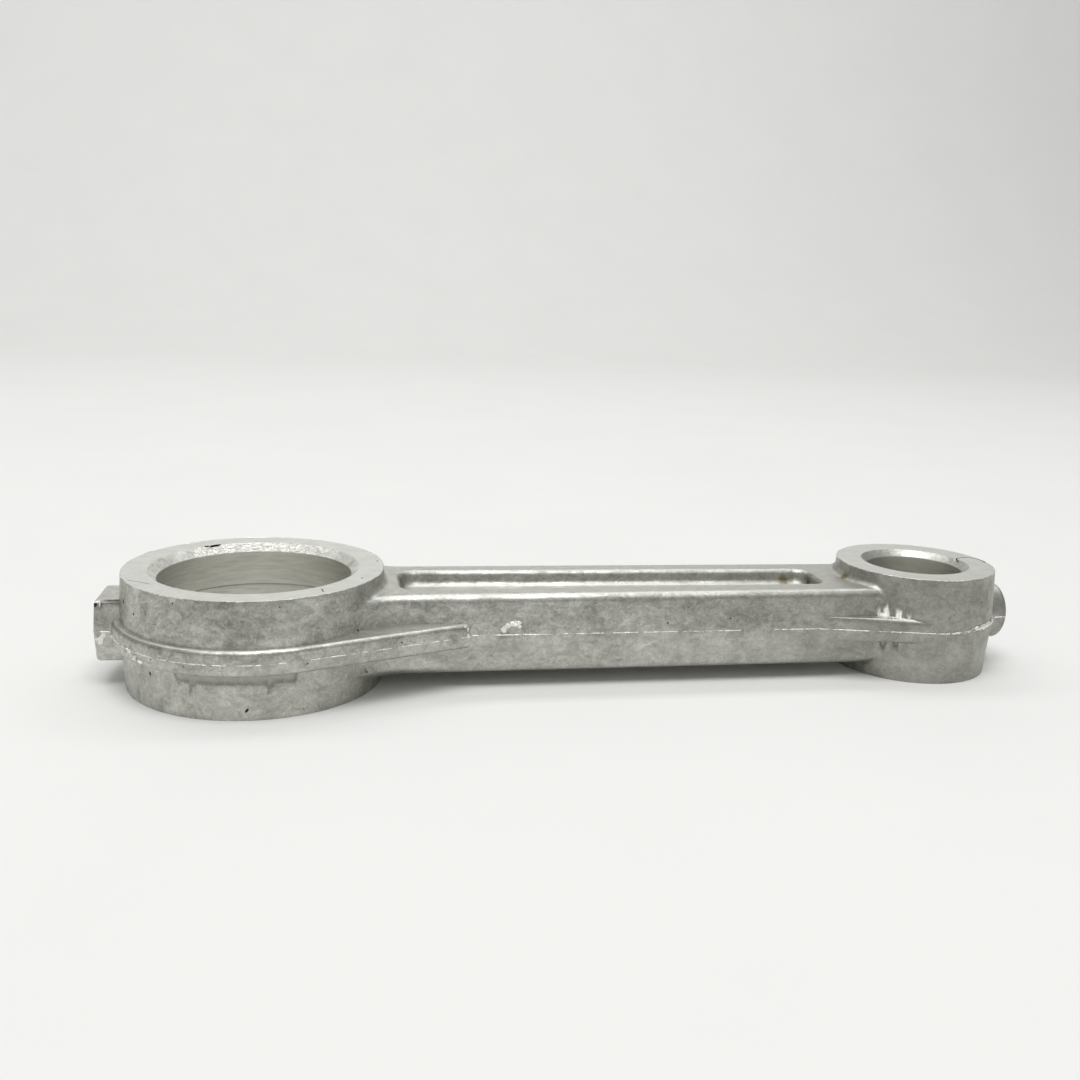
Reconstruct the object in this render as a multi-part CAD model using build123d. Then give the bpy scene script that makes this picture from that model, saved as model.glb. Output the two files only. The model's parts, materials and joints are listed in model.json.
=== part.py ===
"""Connecting rod: one pressure-die-cast aluminium piece with a one-piece big end.

Frame (millimetres): the origin is the middle of the crank-pin bore, on the
parting plane of the two die halves.  +X runs along the rod to the small end,
+Z is the axis of both bores, and +Y completes the right-handed frame.
The casting is the same above and below the parting plane and on both sides
of the XZ plane.  Each wall leans away from the parting plane by the die draft,
so the upper half is built and mirrored.
"""
import os
from math import asin, atan2, cos, radians, sin, tan

from build123d import *

# Driving dimensions of the running fits
CENTRE_DISTANCE = 113.0
CRANK_BORE_R = 15.0
WRIST_BORE_R = 8.0
CRANK_CHAMFER = 1.3
WRIST_CHAMFER = 1.1
END_HALF_HEIGHT = 9.0

# Oil relief turned in the middle of the crank-pin bore
RELIEF_HALF_WIDTH = 1.9
RELIEF_DEPTH = 0.3

# Ring walls, measured at the machined faces
BIG_RING_TOP_R = 20.2
SMALL_RING_TOP_R = 13.3
DRAFT = 3.5

# Shank, measured at the parting plane
SHANK_HALF_HEIGHT = 6.5
SHANK_HALF_WIDTH_BIG_END = 10.3
SHANK_HALF_WIDTH_SMALL_END = 9.6
SHANK_BLEND_BIG_END = 12.0
SHANK_BLEND_SMALL_END = 2.5
SHANK_EDGE_R = 1.5
# The shank's outline follows each ring this far inside its wall
SHANK_INSET = 0.05

# Shallow recess along each broad face of the shank, measured at its mouth
POCKET_START = 22.7
POCKET_END = 94.6
POCKET_DEPTH = 2.5
POCKET_HALF_WIDTH_BIG_END = 5.6
POCKET_HALF_WIDTH_SMALL_END = 4.5
POCKET_CORNER_R_BIG_END = 2.8
POCKET_CORNER_R_SMALL_END = 2.4
POCKET_DRAFT = 12.0
POCKET_FLOOR_R = 1.2
POCKET_MOUTH_R = 1.1

# Rib on the parting plane: a collar round the big end, a gusset at the small end
RIB_HALF_HEIGHT = 2.0
RIB_EDGE_R = 0.8
COLLAR_R = 21.9
COLLAR_TAIL_END = 33.4
COLLAR_TAIL_STEP = 0.5
GUSSET_START = 91.0

# Lug at the crank end and round boss at the small end
LUG_END = -24.0
LUG_HALF_WIDTH = 4.9
LUG_HALF_HEIGHT = 4.9
LUG_EDGE_R = 0.7
BOSS_R = 5.0
BOSS_END = 129.2
BOSS_EDGE_R = 0.8
BOSS_ROOT_R = 0.8

# Blends where the shank's broad faces meet the ring walls
BIG_ROOT_R = 1.2
SMALL_ROOT_R = 1.2

LEAN = tan(radians(DRAFT))
BIG_RING_R = BIG_RING_TOP_R + END_HALF_HEIGHT * LEAN
SMALL_RING_R = SMALL_RING_TOP_R + END_HALF_HEIGHT * LEAN


def shank_half_width(x):
    """Half width of the shank at the parting plane, a straight taper along the rod."""
    share = x / CENTRE_DISTANCE
    return SHANK_HALF_WIDTH_BIG_END + share * (SHANK_HALF_WIDTH_SMALL_END - SHANK_HALF_WIDTH_BIG_END)


def drafted(outline, height):
    """Upper half of a die-cast feature, which leans in with height from its outline."""
    return extrude(outline, amount=height, taper=DRAFT)


def round_top(body, radius):
    """Round the upper rim of a body."""
    rim = body.faces().sort_by(Axis.Z)[-1].edges()
    return fillet(rim, radius)


def both_halves(upper):
    """Join an upper half and its mirror image below the parting plane."""
    return upper + mirror(upper, Plane.XY)


def ring(centre_x, radius):
    """Upper half of an end ring, a cone that narrows to the machined face."""
    outline = Pos(centre_x, 0, 0) * Circle(radius)
    return drafted(outline, END_HALF_HEIGHT)


def corners_near(outline, x_low, x_high):
    """Corners of an outline between two stations along the rod."""
    return [v for v in outline.vertices() if x_low < v.X < x_high]


def symmetric_outline(near_side):
    """Closed outline from the points of its -Y side, listed from -X to +X."""
    far_side = [(x, -y) for x, y in reversed(near_side)]
    return make_face(Polyline(*near_side, *far_side, close=True))


def shank():
    """Upper half of the shank, blended into both rings in plan."""
    near_side = [(0, -shank_half_width(0)), (CENTRE_DISTANCE, -shank_half_width(CENTRE_DISTANCE))]
    outline = symmetric_outline(near_side)
    outline += Circle(BIG_RING_R - SHANK_INSET)
    outline += Pos(CENTRE_DISTANCE, 0, 0) * Circle(SMALL_RING_R - SHANK_INSET)
    outline = fillet(corners_near(outline, 10, 30), SHANK_BLEND_BIG_END)
    outline = fillet(corners_near(outline, 90, 110), SHANK_BLEND_SMALL_END)
    return round_top(drafted(outline, SHANK_HALF_HEIGHT), SHANK_EDGE_R)


def pocket():
    """Shallow recess in the upper face of the shank, wider at its mouth.

    It is raised from its mouth like a boss, then turned over.
    """
    near_side = [(POCKET_START, -POCKET_HALF_WIDTH_BIG_END), (POCKET_END, -POCKET_HALF_WIDTH_SMALL_END)]
    outline = symmetric_outline(near_side)
    outline = fillet(corners_near(outline, 0, 50), POCKET_CORNER_R_BIG_END)
    outline = fillet(corners_near(outline, 50, 100), POCKET_CORNER_R_SMALL_END)
    raised = extrude(outline, amount=POCKET_DEPTH, taper=POCKET_DRAFT)
    raised = round_top(raised, POCKET_FLOOR_R)
    return Pos(0, 0, SHANK_HALF_HEIGHT) * mirror(raised, Plane.XY)


def recessed_shank():
    """Upper half of the shank with its recess and the recess's rounded mouth."""
    body = shank() - pocket()
    mouth = body.faces().sort_by(Axis.Z)[-1].inner_wires()[0].edges()
    return fillet(mouth, POCKET_MOUTH_R)


def collar():
    """Upper half of the big-end rib, with a tail tangent to it on each side."""
    tail_y = shank_half_width(COLLAR_TAIL_END) + COLLAR_TAIL_STEP
    reach = (COLLAR_TAIL_END**2 + tail_y**2) ** 0.5
    to_tail = atan2(tail_y, COLLAR_TAIL_END)
    touch = to_tail + radians(90) - asin(COLLAR_R / reach)
    touch_point = (COLLAR_R * cos(touch), -COLLAR_R * sin(touch))
    outline = symmetric_outline([touch_point, (COLLAR_TAIL_END, -tail_y)])
    outline += Circle(COLLAR_R)
    return rib_layer(outline)


def gusset():
    """Upper half of the small-end rib, tangent to the ring wall on each side."""
    start_y = shank_half_width(GUSSET_START) - 0.1
    reach = CENTRE_DISTANCE - GUSSET_START
    span = (reach**2 + start_y**2) ** 0.5
    to_start = atan2(start_y, -reach)
    touch = to_start - (radians(90) - asin(SMALL_RING_R / span))
    touch_point = (CENTRE_DISTANCE + SMALL_RING_R * cos(touch), -SMALL_RING_R * sin(touch))
    outline = symmetric_outline([(GUSSET_START, -start_y), touch_point])
    return rib_layer(outline)


def rib_layer(outline):
    """Rib of the common thickness with the edge of its outline rounded."""
    return round_top(drafted(outline, RIB_HALF_HEIGHT), RIB_EDGE_R)


def lug():
    """Upper half of the block that stands out of the collar at the crank end."""
    length = -LUG_END - COLLAR_R + 5
    outline = Pos(LUG_END + length / 2, 0, 0) * Rectangle(length, 2 * LUG_HALF_WIDTH)
    outline = fillet(corners_near(outline, LUG_END - 1, LUG_END + 1), LUG_EDGE_R)
    return round_top(drafted(outline, LUG_HALF_HEIGHT), LUG_EDGE_R)


def boss():
    """Whole round boss on the end of the rod, with its rim rounded."""
    length = BOSS_END - CENTRE_DISTANCE
    turn = Rot(0, 90, 0)
    body = Pos(CENTRE_DISTANCE + length / 2, 0, 0) * turn * Cylinder(BOSS_R, length)
    rim = body.faces().sort_by(Axis.X)[-1].edges()
    return fillet(rim, BOSS_EDGE_R)


def chamfered_bore(centre_x, radius, chamfer_size):
    """Solid that cuts a through bore and its chamfer at each machined face."""
    shaft = Cylinder(radius, 2 * END_HALF_HEIGHT + 2)
    sink = chamfer_size + 1
    cone_z = END_HALF_HEIGHT - chamfer_size + sink / 2
    upper = Pos(0, 0, cone_z) * Cone(radius, radius + sink, sink)
    lower = mirror(upper, Plane.XY)
    return Pos(centre_x, 0, 0) * (shaft + upper + lower)


def blend_root(body, centre_x, ring_r, blend_r):
    """Blend the arcs where the shank's broad faces meet a ring's wall."""
    wall_r = ring_r - SHANK_HALF_HEIGHT * LEAN
    arcs = []
    for edge in body.edges():
        middle = edge @ 0.5
        on_face = abs(abs(middle.Z) - SHANK_HALF_HEIGHT) < 0.05
        from_axis = ((middle.X - centre_x) ** 2 + middle.Y**2) ** 0.5
        if on_face and abs(from_axis - wall_r) < 0.15:
            arcs.append(edge)
    return fillet(arcs, blend_r)


def blend_boss(body):
    """Blend the edge where the boss meets the ring's wall."""
    seam = []
    for edge in body.edges():
        middle = edge @ 0.5
        from_axis = (middle.Y**2 + middle.Z**2) ** 0.5
        on_wall = CENTRE_DISTANCE + BOSS_R < middle.X < BOSS_END - BOSS_EDGE_R - 0.1
        if on_wall and abs(from_axis - BOSS_R) < 0.05:
            seam.append(edge)
    return fillet(seam, BOSS_ROOT_R)


def casting():
    """The whole rod as one solid."""
    body = both_halves(recessed_shank())
    body += both_halves(ring(0, BIG_RING_R))
    body += both_halves(ring(CENTRE_DISTANCE, SMALL_RING_R))
    body += both_halves(collar())
    body += both_halves(gusset())
    body += both_halves(lug())
    body += boss()
    body = blend_root(body, 0, BIG_RING_R, BIG_ROOT_R)
    body = blend_root(body, CENTRE_DISTANCE, SMALL_RING_R, SMALL_ROOT_R)
    body = blend_boss(body)
    body -= chamfered_bore(0, CRANK_BORE_R, CRANK_CHAMFER)
    body -= chamfered_bore(CENTRE_DISTANCE, WRIST_BORE_R, WRIST_CHAMFER)
    body -= Cylinder(CRANK_BORE_R + RELIEF_DEPTH, 2 * RELIEF_HALF_WIDTH)
    return body


rod = casting()
os.makedirs("parts", exist_ok=True)
export_step(rod, "parts/rod_casting.step")
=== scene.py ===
"""Looks of a bare die-cast connecting rod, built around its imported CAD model."""

import json
import logging
import math
import random
from collections.abc import Callable, Iterable, Sequence
from dataclasses import dataclass
from enum import Enum

import bpy
from mathutils import Matrix, Vector, noise
from mathutils.bvhtree import BVHTree


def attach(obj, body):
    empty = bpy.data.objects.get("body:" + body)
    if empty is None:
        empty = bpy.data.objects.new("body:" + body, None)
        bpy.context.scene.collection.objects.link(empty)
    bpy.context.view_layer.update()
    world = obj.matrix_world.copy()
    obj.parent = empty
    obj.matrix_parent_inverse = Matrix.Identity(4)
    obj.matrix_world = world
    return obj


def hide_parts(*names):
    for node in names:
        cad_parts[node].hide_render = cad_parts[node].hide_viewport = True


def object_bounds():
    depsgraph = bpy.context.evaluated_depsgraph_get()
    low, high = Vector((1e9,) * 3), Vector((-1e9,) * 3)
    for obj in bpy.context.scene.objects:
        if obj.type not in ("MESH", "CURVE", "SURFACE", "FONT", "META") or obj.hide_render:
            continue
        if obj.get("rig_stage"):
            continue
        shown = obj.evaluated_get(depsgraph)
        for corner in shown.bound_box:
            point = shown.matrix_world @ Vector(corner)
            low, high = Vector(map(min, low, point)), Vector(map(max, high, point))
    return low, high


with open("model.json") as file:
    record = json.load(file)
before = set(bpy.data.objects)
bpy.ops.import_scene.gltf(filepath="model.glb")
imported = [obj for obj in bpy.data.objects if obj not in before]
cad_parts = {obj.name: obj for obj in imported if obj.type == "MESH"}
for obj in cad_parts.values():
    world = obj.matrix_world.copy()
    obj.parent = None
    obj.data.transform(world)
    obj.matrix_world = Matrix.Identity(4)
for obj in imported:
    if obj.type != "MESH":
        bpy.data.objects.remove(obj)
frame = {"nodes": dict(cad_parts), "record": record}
CAD_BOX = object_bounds()
LOW, HIGH = (Vector(corner) for corner in CAD_BOX)

log = logging.getLogger("connecting_rod")

MM = 0.001
BODY = "root"
NODE = "rod_casting"
MOUNTS = {mount["name"]: mount for mount in frame["record"]["mounts"]}
CRANK_AXIS = Vector(MOUNTS["crank_pin_bore"]["pos_m"])
WRIST_AXIS = Vector(MOUNTS["wrist_pin_bore"]["pos_m"])
# Radius of each ring's milled end face, in millimetres.
CRANK_RING_R = 20.2
WRIST_RING_R = 13.3
CRANK_BORE_R = MOUNTS["crank_pin_bore"]["dims"]["r_mm"] * MM
WRIST_BORE_R = MOUNTS["wrist_pin_bore"]["dims"]["r_mm"] * MM

# Length of one wave at a scale of 1.
WAVE_PERIOD = math.tau / 20

Point = tuple[float, float, float]
Socket = bpy.types.NodeSocket
Tree = bpy.types.NodeTree
Colour = Socket | tuple[float, float, float, float]


def linear(hex_colour: str) -> tuple[float, float, float, float]:
    """Turn an sRGB hex colour into the linear values that shaders take.

    Args:
        hex_colour: A colour such as "#A0A09C".

    Returns:
        Linear red, green, blue and an alpha of 1.
    """
    channels = [int(hex_colour[start : start + 2], 16) / 255 for start in (1, 3, 5)]
    red, green, blue = (c / 12.92 if c <= 0.04045 else ((c + 0.055) / 1.055) ** 2.4 for c in channels)
    return red, green, blue, 1.0


def add(tree: Tree, kind: str, inputs: dict | None = None, **settings) -> bpy.types.Node:
    """Add one shader node with its settings, values and links.

    Args:
        tree: The node tree that gets the node.
        kind: The node's type name.
        inputs: Socket name or number to an output socket, which is linked, or to a plain value.
        **settings: Properties of the node itself.

    Returns:
        The new node.
    """
    made = tree.nodes.new(kind)
    for name, value in settings.items():
        setattr(made, name, value)
    for socket, value in (inputs or {}).items():
        if isinstance(value, Socket):
            tree.links.new(value, made.inputs[socket])
        else:
            made.inputs[socket].default_value = value
    return made


def blank_material(name: str) -> tuple[bpy.types.Material, bpy.types.Node, Socket]:
    """Start a node material whose patterns are measured in millimetres.

    Args:
        name: The material's name.

    Returns:
        The material, its Principled shader and an Object coordinate socket in millimetres.
    """
    material = bpy.data.materials.new(name)
    material.use_nodes = True
    tree = material.node_tree
    place = add(tree, "ShaderNodeTexCoord")
    scaled = add(tree, "ShaderNodeMapping", {"Vector": place.outputs["Object"], "Scale": (1 / MM,) * 3})
    return material, tree.nodes["Principled BSDF"], scaled.outputs["Vector"]


def ramp(tree: Tree, value: Socket, stops: Sequence[tuple[float, str]]) -> Socket:
    """Spread colours over a value between 0 and 1.

    Args:
        tree: The node tree that gets the ramp.
        value: The socket that drives it.
        stops: Position and hex colour of each stop, in order.

    Returns:
        The ramp's colour socket.
    """
    node = add(tree, "ShaderNodeValToRGB", {"Fac": value})
    elements = node.color_ramp.elements
    while len(elements) < len(stops):
        elements.new(0.5)
    for element, (position, colour) in zip(elements, stops):
        element.position = position
        element.color = linear(colour)
    return node.outputs["Color"]


def noise_mm(tree: Tree, place: Socket, grain: float, detail: float = 4.0,
             stretch: Point = (1.0, 1.0, 1.0), distortion: float = 0.0) -> Socket:
    """Lay a noise over the surface whose grain has a real size.

    Args:
        tree: The node tree that gets the noise.
        place: Coordinates in millimetres.
        grain: Size of one grain in millimetres.
        detail: Octaves of finer noise inside it.
        stretch: How many times longer a grain is along each axis.
        distortion: How much the grains curl.

    Returns:
        The noise value socket.
    """
    scale = tuple(1 / (grain * s) for s in stretch)
    scaled = add(tree, "ShaderNodeMapping", {"Vector": place, "Scale": scale})
    return add(tree, "ShaderNodeTexNoise", {
        "Vector": scaled.outputs["Vector"], "Scale": 1.0, "Detail": detail, "Roughness": 0.62,
        "Distortion": distortion,
    }).outputs["Fac"]


def noise_vector(tree: Tree, place: Socket, grain: float) -> Socket:
    """Give a small random push that bends a pattern laid over it, in millimetres."""
    scaled = add(tree, "ShaderNodeMapping", {"Vector": place, "Scale": (1 / grain,) * 3})
    bend = add(tree, "ShaderNodeTexNoise", {"Vector": scaled.outputs["Vector"], "Scale": 1.0})
    return bend.outputs["Color"]


def spread(tree: Tree, value: Socket, low: float, high: float,
           to_low: float = 0.0, to_high: float = 1.0) -> Socket:
    """Map a value from one range smoothly to another, and hold it there.

    Args:
        tree: The node tree that gets the node.
        value: The socket to map.
        low: The value that becomes to_low.
        high: The value that becomes to_high.
        to_low: Result at and under low.
        to_high: Result at and over high.

    Returns:
        The mapped socket.
    """
    return add(tree, "ShaderNodeMapRange", {
        "Value": value, "From Min": low, "From Max": high, "To Min": to_low, "To Max": to_high,
    }, interpolation_type="SMOOTHSTEP").outputs["Result"]


def mix_colour(tree: Tree, factor: Socket | float, first: Colour, second: Colour,
               blend: str = "MIX") -> Socket:
    """Blend two colours.

    Args:
        tree: The node tree that gets the node.
        factor: How much of the second shows, a number or a socket.
        first: The colour underneath.
        second: The colour on top.
        blend: Name of the blend type.

    Returns:
        The blended colour socket.
    """
    return add(tree, "ShaderNodeMix", {0: factor, 6: first, 7: second},
               data_type="RGBA", blend_type=blend).outputs[2]


def wave_scale(pitch: float) -> float:
    """Give the scale at which a wave texture repeats once in each pitch, in the units of its coordinates."""
    return WAVE_PERIOD / pitch


def bumps(tree: Tree, layers: Iterable[tuple[Socket, float, float]]) -> Socket:
    """Stack height patterns on one normal.

    Args:
        tree: The node tree that gets the nodes.
        layers: Height socket, depth in millimetres and strength of each layer.

    Returns:
        The last normal socket.
    """
    normal = None
    for height, depth, strength in layers:
        inputs = {"Height": height, "Distance": depth * MM, "Strength": strength}
        if normal is not None:
            inputs["Normal"] = normal
        normal = add(tree, "ShaderNodeBump", inputs).outputs["Normal"]
    return normal


@dataclass(frozen=True)
class DieCastSkin:
    """Aluminium as it leaves the die: mottled grey with a fine chill grain, and faces that lie flat painted
    pale as a painted sheen.
    """

    dark: str = "#888880"
    middle: str = "#B6B6AF"
    light: str = "#DADAD4"
    burnt: str = "#66645C"
    # Pale tone for the painted sheen on flat faces, and for the random bright specks.
    speck_and_painted_sheen: str = "#F2F2EC"
    stain: str = "#6E5A32"
    stains: tuple[tuple[Point, float], ...] = (
        ((93.9, 1.5, 4.9), 0.75), ((90.6, 3.6, 4.8), 0.9),
        ((99.3, -1.7, 6.8), 0.8), ((101.0, -3.0, 7.0), 0.5),
    )
    mottle_grain: float = 3.6
    blotch_grain: float = 1.3
    chill_grain: float = 0.3
    peel_grain: float = 1.1
    ripple_grain: float = 4.5
    crack_cell: float = 7.0

    def make(self) -> bpy.types.Material:
        """Build the material.

        Returns:
            The material, ready for a slot.
        """
        material, shader, place = blank_material("aluminium_die_cast_skin")
        tree = material.node_tree
        mottle = noise_mm(tree, place, self.mottle_grain, 7.0, (1.8, 1.0, 1.0), 0.6)
        grain = noise_mm(tree, place, self.chill_grain, 3.0)
        peel = noise_mm(tree, place, self.peel_grain, 4.0)
        ripple = noise_mm(tree, place, self.ripple_grain, 3.0, (2.5, 1.0, 1.0), 0.4)
        axes = add(tree, "ShaderNodeSeparateXYZ", {"Vector": place})
        # Painted light: the skin below a ragged line near the parting plane is painted lighter.
        ragged = add(tree, "ShaderNodeMath", {0: peel, 1: 1.6, 2: axes.outputs["Z"]},
                     operation="MULTIPLY_ADD")
        painted_light_below = spread(tree, ragged.outputs["Value"], 1.4, 0.2)

        blotch = noise_mm(tree, place, self.blotch_grain, 5.0, (1.3, 1.0, 1.0), 1.2)
        colour = ramp(tree, mottle, ((0.3, self.dark), (0.5, self.middle), (0.7, self.light)))
        tone = ramp(tree, blotch, ((0.32, self.dark), (0.5, self.middle), (0.66, self.light)))
        colour = mix_colour(tree, 0.5, colour, tone)
        chill = ramp(tree, grain, ((0.34, "#9C9C98"), (0.62, "#FFFFFF")))
        colour = mix_colour(tree, 0.35, colour, chill, "MULTIPLY")
        lift = add(tree, "ShaderNodeMath", {0: painted_light_below, 1: 0.16}, operation="MULTIPLY")
        colour = mix_colour(tree, lift.outputs["Value"], colour, linear(self.light))
        # Painted shade: the skin is painted darker towards the wrist end.
        wrist = spread(tree, axes.outputs["X"], 55.0, 118.0, 0.0, 0.5)
        colour = mix_colour(tree, wrist, colour, linear(self.dark))
        # Painted sheen: faces that point straight up or down are painted paler by their normal, a painted
        # highlight of the light they catch.
        facing = add(tree, "ShaderNodeNewGeometry")
        upright = add(tree, "ShaderNodeSeparateXYZ", {"Vector": facing.outputs["Normal"]})
        level = add(tree, "ShaderNodeMath", {0: upright.outputs["Z"]}, operation="ABSOLUTE").outputs["Value"]
        speck_and_painted_sheen = spread(tree, level, 0.7, 0.95, 0.0, 0.42)
        colour = mix_colour(tree, speck_and_painted_sheen, colour, linear(self.speck_and_painted_sheen))
        soot = spread(tree, noise_mm(tree, place, 0.9, 5.0, (1.6, 1.0, 1.0), 0.8), 0.66, 0.76)
        soot = add(tree, "ShaderNodeMath", {0: soot, 1: 0.55}, operation="MULTIPLY")
        colour = mix_colour(tree, soot.outputs["Value"], colour, linear(self.burnt))
        bent = add(tree, "ShaderNodeVectorMath", {0: place, 1: noise_vector(tree, place, 1.5)},
                   operation="ADD")
        cells = add(tree, "ShaderNodeVectorMath", {0: bent.outputs["Vector"], 1: (1 / self.crack_cell,) * 3},
                    operation="MULTIPLY")
        edges = add(tree, "ShaderNodeTexVoronoi", {"Vector": cells.outputs["Vector"], "Scale": 1.0},
                    feature="DISTANCE_TO_EDGE").outputs["Distance"]
        line = spread(tree, edges, 0.002, 0.012, 1.0, 0.0)
        some = spread(tree, noise_mm(tree, place, 2.6, 2.0), 0.55, 0.68, 0.0, 0.4)
        crack = add(tree, "ShaderNodeMath", {0: line, 1: some}, operation="MULTIPLY")
        colour = mix_colour(tree, crack.outputs["Value"], colour, linear(self.burnt))
        # Random bright specks in the skin, in the same pale colour as the painted sheen.
        speck = spread(tree, noise_mm(tree, place, 0.35, 3.0, (1.0, 1.0, 1.0), 0.3), 0.68, 0.74, 0.0, 0.7)
        colour = mix_colour(tree, speck, colour, linear(self.speck_and_painted_sheen))
        for centre, radius in self.stains:
            away = add(tree, "ShaderNodeVectorMath", {0: place, 1: centre}, operation="DISTANCE")
            frayed = add(tree, "ShaderNodeMath", {0: peel, 1: 1.4, 2: away.outputs["Value"]},
                         operation="MULTIPLY_ADD")
            mask = spread(tree, frayed.outputs["Value"], radius + 1.1, radius + 0.3, 0.0, 0.8)
            colour = mix_colour(tree, mask, colour, linear(self.stain))
        tree.links.new(colour, shader.inputs["Base Color"])
        shader.inputs["Metallic"].default_value = 1.0
        tree.links.new(spread(tree, mottle, 0.3, 0.7, 0.52, 0.36), shader.inputs["Roughness"])
        relief = bumps(tree, ((ripple, 0.35, 0.5), (peel, 0.1, 0.45), (grain, 0.035, 0.4)))
        tree.links.new(relief, shader.inputs["Normal"])
        return material


@dataclass(frozen=True)
class MilledFace:
    """Aluminium face cut by a fly cutter: pale and even, with faint long arcs of the tool."""

    colour: str = "#F2F2ED"
    worn: str = "#E4E4DE"
    # The real feed, about 0.35 mm, is too fine to show, so it is drawn about four times as coarse.
    pitch: float = 1.3817

    def make(self) -> bpy.types.Material:
        """Build the material.

        Returns:
            The material, ready for a slot.
        """
        material, shader, place = blank_material("aluminium_milled_face")
        tree = material.node_tree
        swing = add(tree, "ShaderNodeMapping", {"Vector": place, "Location": (-40.0, 75.0, 0.0)})
        arcs = add(tree, "ShaderNodeTexWave", {
            "Vector": swing.outputs["Vector"], "Scale": wave_scale(self.pitch), "Distortion": 0.6,
            "Detail": 2.0, "Detail Scale": 0.3,
        }, wave_type="RINGS", rings_direction="Z")
        cloud = noise_mm(tree, place, 3.0, 5.0)
        fine = noise_mm(tree, place, 0.25, 3.0)
        colour = ramp(tree, cloud, ((0.3, self.worn), (0.6, self.colour)))
        colour = mix_colour(tree, 0.05, colour, arcs.outputs["Color"], "MULTIPLY")
        tree.links.new(colour, shader.inputs["Base Color"])
        shader.inputs["Metallic"].default_value = 1.0
        tree.links.new(spread(tree, cloud, 0.3, 0.7, 0.38, 0.28), shader.inputs["Roughness"])
        relief = bumps(tree, ((arcs.outputs["Fac"], 0.0015, 0.5), (fine, 0.01, 0.35)))
        tree.links.new(relief, shader.inputs["Normal"])
        return material


@dataclass(frozen=True)
class TurnedBore:
    """Bored aluminium: bright, with the boring tool's fine rings round the wall."""

    colour: str = "#F0F0EA"
    worn: str = "#CFCFC7"
    relief: float = 1.9
    crank_side: float = 60.0
    # The real feed, about 0.28 mm, is too fine to show, so it is drawn about four times as coarse.
    pitch: float = 1.1054

    def make(self) -> bpy.types.Material:
        """Build the material.

        Returns:
            The material, ready for a slot.
        """
        material, shader, place = blank_material("aluminium_turned_bore")
        tree = material.node_tree
        rings = add(tree, "ShaderNodeTexWave", {
            "Vector": place, "Scale": wave_scale(self.pitch), "Distortion": 0.8, "Detail": 3.0,
            "Detail Scale": 0.4,
        }, wave_type="BANDS", bands_direction="Z")
        streaks = noise_mm(tree, place, 0.5, 5.0, (8.0, 8.0, 1.0))
        colour = ramp(tree, streaks, ((0.3, self.worn), (0.65, self.colour)))
        axes = add(tree, "ShaderNodeSeparateXYZ", {"Vector": place})
        level = add(tree, "ShaderNodeMath", {0: axes.outputs["Z"]}, operation="ABSOLUTE").outputs["Value"]
        # Painted shade: a thin dark band round the crank bore at the height of the relief groove's shoulders.
        shoulder = add(tree, "ShaderNodeMath", {0: level, 1: self.relief, 2: 0.16},
                       operation="COMPARE").outputs["Value"]
        crank = add(tree, "ShaderNodeMath", {0: axes.outputs["X"], 1: self.crank_side},
                    operation="LESS_THAN")
        painted_groove_shade = add(tree, "ShaderNodeMath", {0: shoulder, 1: crank.outputs["Value"]}, operation="MULTIPLY")
        painted_groove_shade = add(tree, "ShaderNodeMath", {0: painted_groove_shade.outputs["Value"], 1: 0.55}, operation="MULTIPLY")
        colour = mix_colour(tree, painted_groove_shade.outputs["Value"], colour, linear("#6A6A63"))
        tree.links.new(colour, shader.inputs["Base Color"])
        shader.inputs["Metallic"].default_value = 1.0
        tree.links.new(spread(tree, streaks, 0.3, 0.7, 0.42, 0.28), shader.inputs["Roughness"])
        relief = bumps(tree, ((rings.outputs["Fac"], 0.006, 0.7), (streaks, 0.03, 0.4)))
        tree.links.new(relief, shader.inputs["Normal"])
        return material


@dataclass(frozen=True)
class TornChamfer:
    """Chamfer cut in soft cast aluminium: bright crumbs torn at one side; at the wrist end, chatter streaks
    under painted shade.
    """

    colour: str = "#F2F2EC"
    worn: str = "#C6C6BF"
    crumb: float = 0.55

    def make(self) -> bpy.types.Material:
        """Build the material.

        Returns:
            The material, ready for a slot.
        """
        material, shader, place = blank_material("aluminium_torn_chamfer")
        tree = material.node_tree
        axes = add(tree, "ShaderNodeSeparateXYZ", {"Vector": place})
        torn = spread(tree, axes.outputs["Y"], 7.0, 13.0, 0.12, 1.0)
        crumbs = noise_mm(tree, place, self.crumb, 6.0, (1.6, 1.0, 0.7), 0.5)
        height = add(tree, "ShaderNodeMath", {0: crumbs, 1: torn}, operation="MULTIPLY")
        cloud = noise_mm(tree, place, 1.6, 5.0)
        # Painted shade: towards the wrist end the chamfer is painted darker, over fine streaks of chatter.
        wrist = spread(tree, axes.outputs["X"], 40.0, 80.0, 0.0, 0.75)
        colour = ramp(tree, cloud, ((0.32, self.worn), (0.6, self.colour)))
        chatter = noise_mm(tree, place, 0.22, 2.0, (1.0, 1.0, 30.0))
        dull = ramp(tree, chatter, ((0.4, "#8F8F88"), (0.6, "#BDBDB6")))
        tree.links.new(mix_colour(tree, wrist, colour, dull), shader.inputs["Base Color"])
        shader.inputs["Metallic"].default_value = 1.0
        shader.inputs["Roughness"].default_value = 0.42
        tree.links.new(bumps(tree, ((height.outputs["Value"], 0.45, 0.9),)), shader.inputs["Normal"])
        return material


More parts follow.
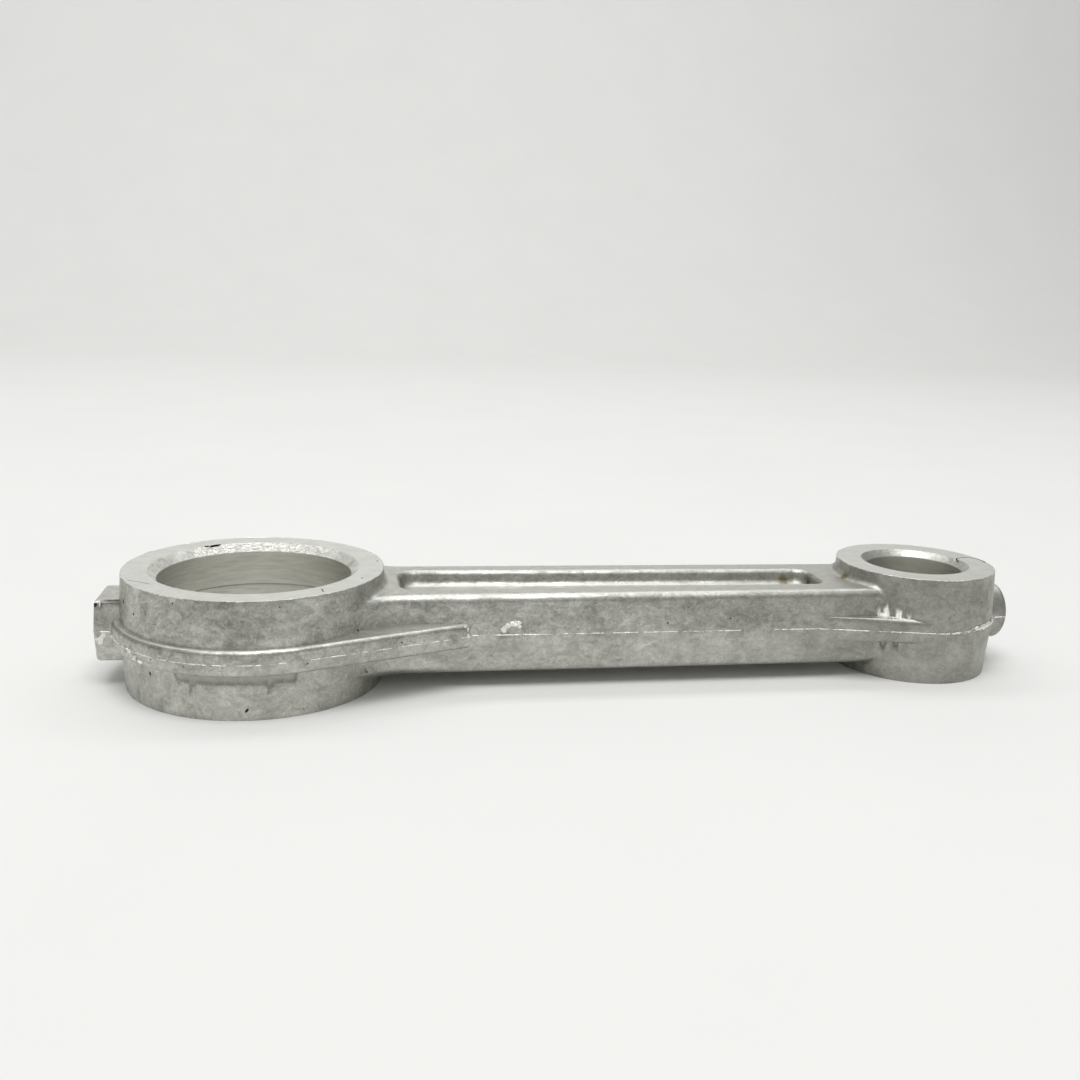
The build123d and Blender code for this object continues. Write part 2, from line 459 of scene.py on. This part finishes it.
@dataclass(frozen=True)
class FreshBreak:
    """Aluminium where flash was sheared off: near white, crumbly and bright against the dull skin."""

    colour: str = "#F6F5F0"
    worn: str = "#A5A39A"
    crumb: float = 0.3

    def make(self) -> bpy.types.Material:
        """Build the material.

        Returns:
            The material, ready for a slot.
        """
        material, shader, place = blank_material("aluminium_fresh_break")
        tree = material.node_tree
        crumbs = noise_mm(tree, place, self.crumb, 5.0)
        cloud = noise_mm(tree, place, 1.4, 4.0)
        colour = ramp(tree, cloud, ((0.38, self.worn), (0.5, self.colour)))
        tree.links.new(colour, shader.inputs["Base Color"])
        shader.inputs["Metallic"].default_value = 1.0
        shader.inputs["Roughness"].default_value = 0.45
        tree.links.new(bumps(tree, ((crumbs, 0.12, 0.8),)), shader.inputs["Normal"])
        return material


@dataclass(frozen=True)
class PaintedPoreShade:
    """Inside of a pore in cast aluminium: painted shade, a dark grey that gives back little light."""

    colour: str = "#3E3D39"
    deep: str = "#2C2B28"

    def make(self) -> bpy.types.Material:
        """Build the material.

        Returns:
            The material, ready for a slot.
        """
        material, shader, place = blank_material("aluminium_pore_painted_shade")
        tree = material.node_tree
        crumbs = noise_mm(tree, place, 0.25, 4.0)
        colour = ramp(tree, crumbs, ((0.3, self.deep), (0.7, self.colour)))
        tree.links.new(colour, shader.inputs["Base Color"])
        shader.inputs["Metallic"].default_value = 0.6
        shader.inputs["Roughness"].default_value = 0.7
        tree.links.new(bumps(tree, ((crumbs, 0.08, 0.7),)), shader.inputs["Normal"])
        return material


@dataclass(frozen=True)
class Paper:
    """Matt white paper sweep: soft, almost without gloss."""

    colour: str = "#E0E0DE"

    def make(self) -> bpy.types.Material:
        """Build the material.

        Returns:
            The material, ready for a slot.
        """
        material, shader, place = blank_material("paper_matt_white")
        tree = material.node_tree
        cloud = noise_mm(tree, place, 60.0, 3.0)
        tree.links.new(ramp(tree, cloud, ((0.3, "#DEDEDC"), (0.7, self.colour))), shader.inputs["Base Color"])
        shader.inputs["Roughness"].default_value = 0.9
        shader.inputs["Specular IOR Level"].default_value = 0.15
        return material


class Region(Enum):
    """The ways in which the casting's surface was made, in the order of its material slots."""

    SKIN = 0
    FACE = 1
    BORE = 2
    CHAMFER = 3


def select_only(piece: bpy.types.Object) -> None:
    """Make one object the only one selected, and the active one."""
    bpy.ops.object.select_all(action="DESELECT")
    piece.select_set(True)
    bpy.context.view_layer.objects.active = piece


def edit(piece: bpy.types.Object, *steps: Callable[[], object]) -> None:
    """Run edit-mode operators on all of a piece.

    Args:
        piece: The object to edit.
        *steps: Operators to call in order, with everything selected before the first.
    """
    select_only(piece)
    bpy.ops.object.mode_set(mode="EDIT")
    bpy.ops.mesh.select_all(action="SELECT")
    for step in steps:
        step()
    bpy.ops.object.mode_set(mode="OBJECT")


def modify(piece: bpy.types.Object, kind: str, **settings) -> None:
    """Add one modifier to a piece and apply it.

    Args:
        piece: The object to change.
        kind: The modifier's type name.
        **settings: The modifier's properties.
    """
    select_only(piece)
    modifier = piece.modifiers.new(kind.title(), kind)
    for name, value in settings.items():
        setattr(modifier, name, value)
    bpy.ops.object.modifier_apply(modifier=modifier.name)


def own_copy(source: bpy.types.Object, name: str) -> bpy.types.Object:
    """Copy an object with a mesh of its own.

    Args:
        source: The object to copy.
        name: The copy's name.

    Returns:
        The copy, which rides on nothing yet.
    """
    copy = source.copy()
    copy.data = source.data.copy()
    copy.name = copy.data.name = name
    copy.parent = None
    for key in [key for key in copy.keys() if key.startswith("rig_")]:
        del copy[key]
    copy.hide_render = copy.hide_viewport = False
    bpy.context.scene.collection.objects.link(copy)
    return copy


@dataclass(frozen=True)
class Lump:
    """A small irregular lump, or the hollow that one leaves: millimetres, and turns in degrees."""

    at: Point
    half: Point
    about_z: float = 0.0
    about_y: float = 0.0

    def matrix(self) -> Matrix:
        """The transform that turns a unit ball into the lump."""
        about_z = Matrix.Rotation(math.radians(self.about_z), 4, "Z")
        about_y = Matrix.Rotation(math.radians(self.about_y), 4, "Y")
        size = Matrix.Diagonal((*(h * MM for h in self.half), 1.0))
        return Matrix.Translation(Vector(self.at) * MM) @ (about_z @ about_y) @ size


def lumps(name: str, items: Sequence[Lump], uneven: float = 0.3) -> bpy.types.Object:
    """Model one crumpled ball, and set a copy with its own mesh for each lump.

    Args:
        name: Name of the joined piece.
        items: The lumps.
        uneven: How far a lump's skin strays, as a share of its size.

    Returns:
        The lumps as one piece, with its place in its mesh.
    """
    bpy.ops.object.select_all(action="DESELECT")
    bpy.ops.mesh.primitive_ico_sphere_add(subdivisions=3, radius=1.0, location=(0, 0, 0))
    ball = bpy.context.object
    made = []
    for index, item in enumerate(items):
        copy = own_copy(ball, f"{name}_{index}")
        shift = Vector((index * 3.7, index * 1.9, 0.5))
        for vertex in copy.data.vertices:
            vertex.co *= 1 + uneven * noise.fractal(vertex.co * 1.3 + shift, 0.7, 2.0, 3)
        copy.data.transform(item.matrix())
        made.append(copy)
    bpy.data.objects.remove(ball)
    select_only(made[0])
    for copy in made:
        copy.select_set(True)
    bpy.ops.object.join()
    piece = bpy.context.object
    piece.name = piece.data.name = name
    return piece


def bead(name: str, path: Sequence[Vector], radii: Sequence[float], closed: bool,
         sides: int = 2) -> bpy.types.Object:
    """Lay a round bead of changing thickness along a line.

    Args:
        name: Name of the piece.
        path: Points of its centre line, in metres.
        radii: Its radius at each point, in millimetres.
        closed: Whether the line runs back into its start.
        sides: Steps of its roundness.

    Returns:
        The bead as a mesh.
    """
    curve = bpy.data.curves.new(name, "CURVE")
    curve.dimensions = "3D"
    curve.bevel_depth = MM
    curve.bevel_resolution = sides
    curve.use_fill_caps = not closed
    spline = curve.splines.new("POLY")
    spline.points.add(len(path) - 1)
    for point, place, radius in zip(spline.points, path, radii):
        point.co = (*place, 1.0)
        point.radius = radius
    spline.use_cyclic_u = closed
    line = bpy.data.objects.new(name, curve)
    bpy.context.scene.collection.objects.link(line)
    select_only(line)
    bpy.ops.object.convert(target="MESH")
    piece = bpy.context.object
    piece.name = piece.data.name = name
    return piece


def surface_tree(mesh: bpy.types.Mesh) -> BVHTree:
    """Make a search tree of a mesh's faces, for rays."""
    return BVHTree.FromPolygons([v.co for v in mesh.vertices], [tuple(p.vertices) for p in mesh.polygons])


def evenly(points: Sequence[Vector], step: float, closed: bool) -> list[Vector]:
    """Walk a line of straight runs in equal steps.

    Args:
        points: Corners of the line.
        step: Length of a step, in metres.
        closed: Whether the last point joins the first.

    Returns:
        Points about one step apart.
    """
    corners = list(points) + ([points[0]] if closed else [])
    walked = [0.0]
    for first, second in zip(corners, corners[1:]):
        walked.append(walked[-1] + (second - first).length)
    count = max(2, round(walked[-1] / step))
    result, run = [], 0
    for index in range(count if closed else count + 1):
        want = walked[-1] * index / count
        while run < len(corners) - 2 and walked[run + 1] < want:
            run += 1
        length = walked[run + 1] - walked[run]
        share = (want - walked[run]) / length if length else 0.0
        result.append(corners[run].lerp(corners[run + 1], share))
    return result


def finished(piece: bpy.types.Object, *materials: bpy.types.Material) -> None:
    """Dress and mount a finished piece.

    Args:
        piece: The object to finish.
        *materials: Its materials, in slot order.
    """
    if materials:
        piece.data.materials.clear()
        for material in materials:
            piece.data.materials.append(material)
    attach(piece, BODY)
    log.info("%s: %d faces", piece.name, len(piece.data.polygons))


@dataclass
class Casting:
    """The casting's body: die-cast skin, milled end faces, bored pin holes, and the flaws cut into them."""

    merge_m: float = 1e-6
    flat_angle: float = 0.4
    sharp_angle: float = 38.0
    smooth_angle: float = 34.0
    face_depth: float = 0.1
    bore_slack: float = 0.5
    chamfer_reach: float = 1.6
    edge_break: float = 0.09
    rim_depth: float = 1.6
    pores: int = 45
    seed: int = 11
    flaws: tuple[Lump, ...] = (
        Lump((-7.8, 14.4, 8.75), (1.15, 0.36, 0.4), 30.0),
        Lump((-9.1, 13.6, 8.95), (0.5, 0.25, 0.25), 38.0),
        Lump((-18.55, -8.6, 5.8), (0.2, 0.3, 0.3)),
        Lump((-16.6, -12.1, 4.9), (0.2, 0.2, 0.25)),
        Lump((-14.1, -15.1, -3.3), (0.2, 0.2, 0.35)),
        Lump((0.0, -20.35, -7.4), (0.2, 0.2, 0.45), 0.0, 25.0),
        Lump((16.0, -13.2, 2.2), (0.2, 0.2, 0.2)),
        Lump((17.4, -11.9, -5.0), (0.16, 0.16, 0.16)),
        Lump((-23.6, -4.75, 4.35), (0.5, 0.3, 0.45)),
        Lump((19.2, 2.6, 9.0), (0.22, 0.18, 0.12)),
        Lump((16.6, -8.0, 9.0), (0.18, 0.2, 0.12)),
        Lump((10.8, -14.9, 9.0), (0.1, 0.95, 0.14), 10.0),
    )
    cold_shut: tuple[Point, ...] = (
        (121.6, 0.2, 8.6), (121.8, 1.2, 8.85), (122.4, 1.9, 9.0), (123.6, 2.25, 9.0), (125.0, 2.4, 9.0),
        (125.9, 1.2, 9.0), (126.1, -0.4, 9.0), (125.7, -1.6, 9.0),
    )
    scratch: tuple[Point, ...] = ((-18.1, -7.9, 9.0), (-16.2, -9.0, 9.0), (-14.3, -10.3, 9.0))

    def build(self) -> bpy.types.Object:
        """Copy the node, break its crisp edges and cut the flaws.

        Returns:
            The casting, with its place in its mesh.
        """
        piece = own_copy(frame["nodes"][NODE], "casting")
        edit(piece, lambda: bpy.ops.mesh.remove_doubles(threshold=self.merge_m),
             lambda: bpy.ops.mesh.dissolve_limited(angle_limit=math.radians(self.flat_angle)),
             lambda: bpy.ops.mesh.select_mode(type="EDGE"),
             lambda: bpy.ops.mesh.select_all(action="DESELECT"),
             lambda: bpy.ops.mesh.edges_select_sharp(sharpness=math.radians(self.sharp_angle)))
        for edge in piece.data.edges:
            ends = (piece.data.vertices[index].co.z for index in edge.vertices)
            edge.select = edge.select and min(abs(z) for z in ends) > HIGH.z - self.rim_depth * MM
        select_only(piece)
        bpy.ops.object.mode_set(mode="EDIT")
        bpy.ops.mesh.bevel(offset=self.edge_break * MM, segments=2, clamp_overlap=False)
        bpy.ops.object.mode_set(mode="OBJECT")
        for cutter in self.cutters(piece):
            modify(piece, "BOOLEAN", operation="DIFFERENCE", solver="EXACT", object=cutter,
                   material_mode="TRANSFER")
            bpy.data.objects.remove(cutter)
        return piece

    def cutters(self, piece: bpy.types.Object) -> list[bpy.types.Object]:
        """Model the hollows: the named flaws, scattered pores, a cold shut and a scratch.

        Args:
            piece: The casting, which the pores are scattered over.

        Returns:
            One object for each kind of hollow.
        """
        rng = random.Random(self.seed)
        tree = surface_tree(piece.data)
        scattered = []
        while len(scattered) < self.pores:
            x = rng.uniform(LOW.x, HIGH.x)
            side = rng.choice((-1, 1))
            z = rng.uniform(-8.2, 8.2) * MM
            hit, normal, _, _ = tree.ray_cast(Vector((x, side * 0.1, z)), Vector((0, -side, 0)))
            if hit is None or abs(normal.z) > 0.5:
                continue
            size = rng.uniform(0.05, 0.13)
            scattered.append(Lump(tuple(hit / MM), (size * rng.uniform(1.0, 1.8), size * 0.8, size)))
        hollows = [lumps("flaws", list(self.flaws) + scattered)]
        for name, line, radius in (("cold_shut", self.cold_shut, 0.13), ("scratch", self.scratch, 0.07)):
            path = evenly([Vector(p) * MM for p in line], 0.25 * MM, False)
            radii = [radius * (0.75 + 0.5 * rng.random()) for _ in path]
            radii[0] = radii[-1] = 0.02
            hollows.append(bead(name, path, radii, False))
        # The pores' insides get painted shade.
        pore_shade = PaintedPoreShade().make()
        for hollow in hollows:
            hollow.data.materials.clear()
            hollow.data.materials.append(pore_shade)
        return hollows

    def region(self, face: bpy.types.MeshPolygon) -> Region:
        """Tell how a face of the casting was made.

        Args:
            face: The face.

        Returns:
            Its region.
        """
        upright = abs(face.normal.z)
        if upright > 0.97 and abs(face.center.z) > HIGH.z - self.face_depth * MM:
            return Region.FACE
        for axis, radius in ((CRANK_AXIS, CRANK_BORE_R), (WRIST_AXIS, WRIST_BORE_R)):
            away = (face.center.xy - axis.xy).length
            if away < radius + self.bore_slack * MM and upright < 0.4:
                return Region.BORE
            near_rim = abs(face.center.z) > HIGH.z - self.chamfer_reach * MM
            if away < radius + self.chamfer_reach * MM and near_rim:
                return Region.CHAMFER
        return Region.SKIN

    def dress(self, piece: bpy.types.Object) -> None:
        """Give each region its finish, and mount the casting.

        Args:
            piece: The casting.
        """
        # The boolean cuts leave the pores' painted shade in the last slot.
        pore_shade = piece.data.materials[-1]
        pore_shade_slot = len(piece.data.materials) - 1
        pitted = {face.index for face in piece.data.polygons if face.material_index == pore_shade_slot}
        piece.data.materials.clear()
        for finish in (DieCastSkin(), MilledFace(), TurnedBore(), TornChamfer()):
            piece.data.materials.append(finish.make())
        piece.data.materials.append(pore_shade)
        for face in piece.data.polygons:
            face.material_index = len(Region) if face.index in pitted else self.region(face).value
        select_only(piece)
        bpy.ops.object.shade_smooth_by_angle(angle=math.radians(self.smooth_angle))
        modify(piece, "WEIGHTED_NORMAL", keep_sharp=True, weight=50)
        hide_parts(NODE)
        finished(piece)


@dataclass(frozen=True)
class TornZone:
    """A stretch of the parting line where the flash broke away badly. Sizes and places in millimetres."""

    start: tuple[float, float]
    end: tuple[float, float]
    out: float
    tall: float
    least: float
    rise: float = 0.0


@dataclass
class PartingFlash:
    """The thin broken fin that the die's two halves leave all round the casting."""

    step: float = 0.22
    turns: int = 240
    runs: int = 400
    out: float = 0.1
    tall: float = 0.09
    jagged: float = 0.08
    blend: int = 7
    probe_height: float = 0.03
    probe_reach: float = 60.0
    zones: tuple[TornZone, ...] = (
        TornZone((114.0, -15.0), (117.5, -12.0), 0.22, 0.3, 0.7, 0.1),
        TornZone((117.5, -15.0), (125.5, -6.0), 0.28, 0.5, 0.8, 0.5),
        TornZone((106.0, -15.0), (114.0, -12.0), 0.14, 0.12, 0.5),
        TornZone((124.0, -6.5), (129.5, 0.0), 0.12, 0.2, 0.5),
        TornZone((-24.5, -16.5), (-13.5, -4.0), 0.2, 0.16, 0.4),
        TornZone((37.5, -10.8), (45.0, -9.0), 0.14, 0.12, 0.5),
        TornZone((-24.5, 4.0), (-14.0, 16.5), 0.16, 0.16, 0.3),
        TornZone((112.0, 6.0), (124.0, 15.0), 0.16, 0.3, 0.4),
    )

    def outline(self) -> list[Vector]:
        """Feel round the casting at the parting plane: an end, a side, the other end, the other side.

        Returns:
            Even points round the outside, in metres.
        """
        tree = surface_tree(frame["nodes"][NODE].data)
        level = Vector((0, 0, self.probe_height * MM))
        probes = []
        for axis, start in ((CRANK_AXIS, 90), (WRIST_AXIS, -90)):
            for step in range(self.turns):
                angle = math.radians(start + 180 * step / self.turns)
                probes.append((axis, Vector((math.cos(angle), math.sin(angle), 0))))
            side = Vector((0, -1 if axis == CRANK_AXIS else 1, 0))
            other = WRIST_AXIS if axis == CRANK_AXIS else CRANK_AXIS
            probes += [(axis.lerp(other, step / self.runs), side) for step in range(self.runs)]
        reach = self.probe_reach * MM
        hits = [tree.ray_cast(base + level + outward * reach, -outward)[0] for base, outward in probes]
        line = [Vector((hit.x, hit.y, 0)) for hit in hits if hit is not None]
        return evenly(line, self.step * MM, True)

    def torn(self, place: Vector) -> tuple[float, float, float, float]:
        """Tell how badly the flash broke at a place.

        Args:
            place: A point on the parting line, in metres.

        Returns:
            How far it stands out, its half height, the least share of it that stays and how far it
            climbs, with lengths in millimetres.
        """
        x, y = place.x / MM, place.y / MM
        for zone in self.zones:
            if zone.start[0] < x < zone.end[0] and zone.start[1] < y < zone.end[1]:
                return zone.out, zone.tall, zone.least, zone.rise
        return self.out, self.tall, 0.0, 0.0

    def build(self) -> bpy.types.Object:
        """Lay a bead on the line and tear it: thin and broken along the sides, thick where it sheared.

        Returns:
            The flash, with its place in its mesh.
        """
        path = self.outline()
        piece = bead("parting_flash", path, [1.0] * len(path), True, 1)
        ring = len(piece.data.vertices) // len(path)
        centres = [
            sum((v.co for v in piece.data.vertices[k * ring : (k + 1) * ring]), Vector()) / ring
            for k in range(len(path))
        ]
        torn = [self.torn(centre) for centre in centres]
        for index, centre in enumerate(centres):
            near = [torn[(index + step) % len(torn)] for step in range(-self.blend, self.blend + 1)]
            out, tall, least, rise = (sum(values) / len(near) for values in zip(*near))
            drift = noise.fractal(centre / (3.0 * MM), 0.6, 2.0, 4)
            ragged = noise.fractal(centre / (0.7 * MM) + Vector((3, 1, 7)), 0.8, 2.0, 3)
            keep = min(1.0, max(least, 0.4 + 2.2 * drift + 1.0 * ragged))
            for vertex in piece.data.vertices[index * ring : (index + 1) * ring]:
                arm = vertex.co - centre
                level = arm.z
                arm.z = 0.0
                crumb = 1 + 0.7 * noise.noise(vertex.co / (0.5 * MM) + Vector((9, 2, 4)))
                vertex.co = centre + arm * out * keep * crumb
                lift = level * tall * (0.35 + 0.65 * keep) + self.jagged * MM * ragged * tall
                vertex.co.z += lift * crumb + rise * MM
        piece.data.update()
        return piece


@dataclass(frozen=True)
class RimBurr:
    """The thin ragged edge that the milling cutter leaves on the rim of an end face. Sizes in millimetres."""

    name: str
    centre: Vector
    radius: float
    size: float
    seed: float
    step: float = 0.25
    inset: float = 0.02
    sunk: float = 0.04

    def build(self) -> bpy.types.Object:
        """Lay a broken bead round the rim.

        Returns:
            The burr, with its place in its mesh.
        """
        count = round(math.tau * self.radius / self.step)
        path, radii = [], []
        for index in range(count):
            angle = math.tau * index / count
            spot = Vector((math.cos(angle), math.sin(angle), 0.0))
            wander = noise.fractal(spot * self.radius / 0.6 + Vector((self.seed, 0, 0)), 0.7, 2.0, 3)
            broken = noise.fractal(spot * self.radius / 3.5 + Vector((0, self.seed, 0)), 0.6, 2.0, 3)
            radii.append(self.size * max(0.12, 0.55 + 1.4 * broken + 0.8 * wander))
            reach = (self.radius - self.inset + self.inset * wander) * MM
            height = HIGH.z - self.sunk * MM
            path.append(self.centre + spot * reach + Vector((0, 0, height)))
        return bead(self.name, path, radii, True, 1)


@dataclass(frozen=True)
class Splash:
    """Crumbs of metal welded to the skin. Places and sizes in millimetres."""

    name: str
    items: tuple[Lump, ...]
    uneven: float = 0.45

    def build(self) -> bpy.types.Object:
        """Model the crumbs."""
        return lumps(self.name, self.items, self.uneven)


SPLASHES = (
    Splash("shank_chip", (
        Lump((38.7, -10.0, 0.9), (0.5, 0.14, 0.45), 0.0, 10.0),
        Lump((39.5, -9.98, 1.65), (0.75, 0.2, 0.4), 0.0, -25.0),
        Lump((40.6, -9.96, 1.75), (0.75, 0.22, 0.5), 0.0, 10.0),
        Lump((41.1, -9.98, 1.2), (0.4, 0.18, 0.4)),
    )),
    Splash("lug_splash", (
        Lump((-22.95, -4.85, -1.2), (0.62, 0.16, 0.72), 0.0, 20.0),
        Lump((-22.4, -4.85, -0.5), (0.3, 0.12, 0.3)),
    )),
    Splash("rib_chips", (
        Lump((-16.2, -14.7, -0.8), (0.3, 0.55, 0.42), 40.0),
        Lump((-15.2, -15.6, -1.25), (0.5, 0.3, 0.3), -30.0),
        Lump((-16.9, -13.9, -0.25), (0.25, 0.45, 0.2), 40.0),
    )),
    Splash("rib_end_burr", (
        Lump((32.9, -10.85, 1.3), (0.16, 0.22, 0.35), 0.0, 15.0),
        Lump((33.0, -10.75, 0.2), (0.22, 0.2, 0.5), 0.0, -10.0),
        Lump((32.85, -10.5, -1.0), (0.14, 0.25, 0.4), 0.0, 8.0),
        Lump((32.5, -10.7, 1.7), (0.45, 0.3, 0.14), 0.0, 12.0),
    )),
    Splash("lug_corner_burr", (
        Lump((-23.2, -4.75, 4.75), (0.55, 0.2, 0.14)),
        Lump((-22.7, -4.8, 4.2), (0.13, 0.13, 0.5)),
    )),
)


@dataclass(frozen=True)
class Studio:
    """White sweep, soft light from above and the camera."""

    sensor: float = 36.0
    focal: float = 36.467
    yaw: float = 0.17695
    pitch: float = 0.226826
    roll: float = 0.036819
    distance: float = 0.18082
    aim: Point = (-6.857, 0.0, 13.06)
    fold: float = 0.75
    curve: float = 0.6
    curve_steps: int = 24
    front: float = -2.0
    width: float = 6.0
    top: float = 2.6
    sky: float = 0.44

    def sweep(self) -> None:
        """Model the floor and backdrop as one plane, folded up behind the part."""
        bpy.ops.object.select_all(action="DESELECT")
        bpy.ops.mesh.primitive_plane_add(size=1.0, location=(0, 0, 0))
        piece = bpy.context.object
        piece.name = piece.data.name = "sweep"
        for vertex in piece.data.vertices:
            end = self.fold if vertex.co.y > 0 else self.front
            vertex.co = Vector((math.copysign(self.width / 2, vertex.co.x), end, LOW.z))
        for edge in piece.data.edges:
            edge.select = all(piece.data.vertices[i].co.y > 0 for i in edge.vertices)
        for vertex in piece.data.vertices:
            vertex.select = vertex.co.y > 0
        for face in piece.data.polygons:
            face.select = False
        select_only(piece)
        bpy.ops.object.mode_set(mode="EDIT")
        bpy.ops.mesh.spin(steps=self.curve_steps, angle=math.radians(-90),
                          center=(0, self.fold, LOW.z + self.curve), axis=(1, 0, 0))
        bpy.ops.mesh.extrude_region_move(TRANSFORM_OT_translate={"value": (0, 0, self.top)})
        bpy.ops.mesh.select_all(action="SELECT")
        bpy.ops.mesh.normals_make_consistent(inside=False)
        bpy.ops.object.mode_set(mode="OBJECT")
        bpy.ops.object.shade_smooth()
        piece.data.materials.append(Paper().make())
        piece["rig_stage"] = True

    def lights(self) -> None:
        """Hang softboxes over the part and the backdrop, and fill the room with weak even light."""
        world = bpy.data.worlds.new("room")
        world.use_nodes = True
        bpy.context.scene.world = world
        sky = world.node_tree.nodes["Background"]
        sky.inputs["Color"].default_value = linear("#FFFFFF")
        sky.inputs["Strength"].default_value = self.sky
        self.softbox("key", place=(0.0, -0.26, 0.85), aim=(0.05, 0.0, 0.0), size=(0.6, 0.5), power=5.4)
        self.softbox("backdrop_light", place=(0.0, 0.45, 1.1), aim=(0.0, 1.15, 0.1), size=(2.2, 0.4),
                     power=8.4)

    def softbox(self, name: str, place: Point, aim: Point, size: tuple[float, float], power: float) -> None:
        """Hang one softbox.

        Args:
            name: Its name.
            place: Where it hangs, in metres.
            aim: The point that it faces.
            size: Its width and height.
            power: Its power in watts.
        """
        box = bpy.data.lights.new(name, "AREA")
        box.shape = "RECTANGLE"
        box.size, box.size_y = size
        box.energy = power
        hung = bpy.data.objects.new(name, box)
        facing = (Vector(aim) - Vector(place)).to_track_quat("-Z", "Y")
        hung.matrix_world = Matrix.Translation(place) @ facing.to_matrix().to_4x4()
        bpy.context.scene.collection.objects.link(hung)

    def camera(self) -> None:
        """Stand the camera low in front of the part, a little left of its middle."""
        lens = bpy.data.cameras.new("camera")
        lens.lens = self.focal
        lens.sensor_width = self.sensor
        lens.clip_start = 0.01
        camera = bpy.data.objects.new("camera", lens)
        turn = Matrix.Rotation(-self.yaw, 4, "Z") @ Matrix.Rotation(math.pi / 2 - self.pitch, 4, "X")
        turn = turn @ Matrix.Rotation(self.roll, 4, "Z")
        forward = turn.to_3x3() @ Vector((0, 0, -1))
        aim = (LOW + HIGH) / 2 + Vector(self.aim) * MM
        camera.matrix_world = Matrix.Translation(aim - forward * self.distance) @ turn
        bpy.context.scene.collection.objects.link(camera)
        bpy.context.scene.camera = camera
        bpy.context.scene.view_settings.view_transform = "Standard"


def write_sizes() -> None:
    """Measure the visual model's box beside the CAD box; the result is not kept."""
    boxes = {"cad": CAD_BOX, "visual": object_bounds()}
    {name: [list(corner) for corner in box] for name, box in boxes.items()}


def main() -> None:
    """Build the looks, piece by piece."""
    studio = Studio()
    studio.camera()
    studio.sweep()
    studio.lights()
    part = Casting()
    casting = part.build()
    fresh = FreshBreak().make()
    flash = PartingFlash().build()
    part.dress(casting)
    finished(flash, fresh)
    for burr in (
        RimBurr("crank_rim_burr", CRANK_AXIS, CRANK_RING_R, size=0.055, seed=2.0),
        RimBurr("wrist_rim_burr", WRIST_AXIS, WRIST_RING_R, size=0.045, seed=5.0),
    ):
        finished(burr.build(), fresh)
    for splash in SPLASHES:
        finished(splash.build(), fresh)
    write_sizes()


if __name__ == "__main__":
    logging.basicConfig(level=logging.INFO)
    main()
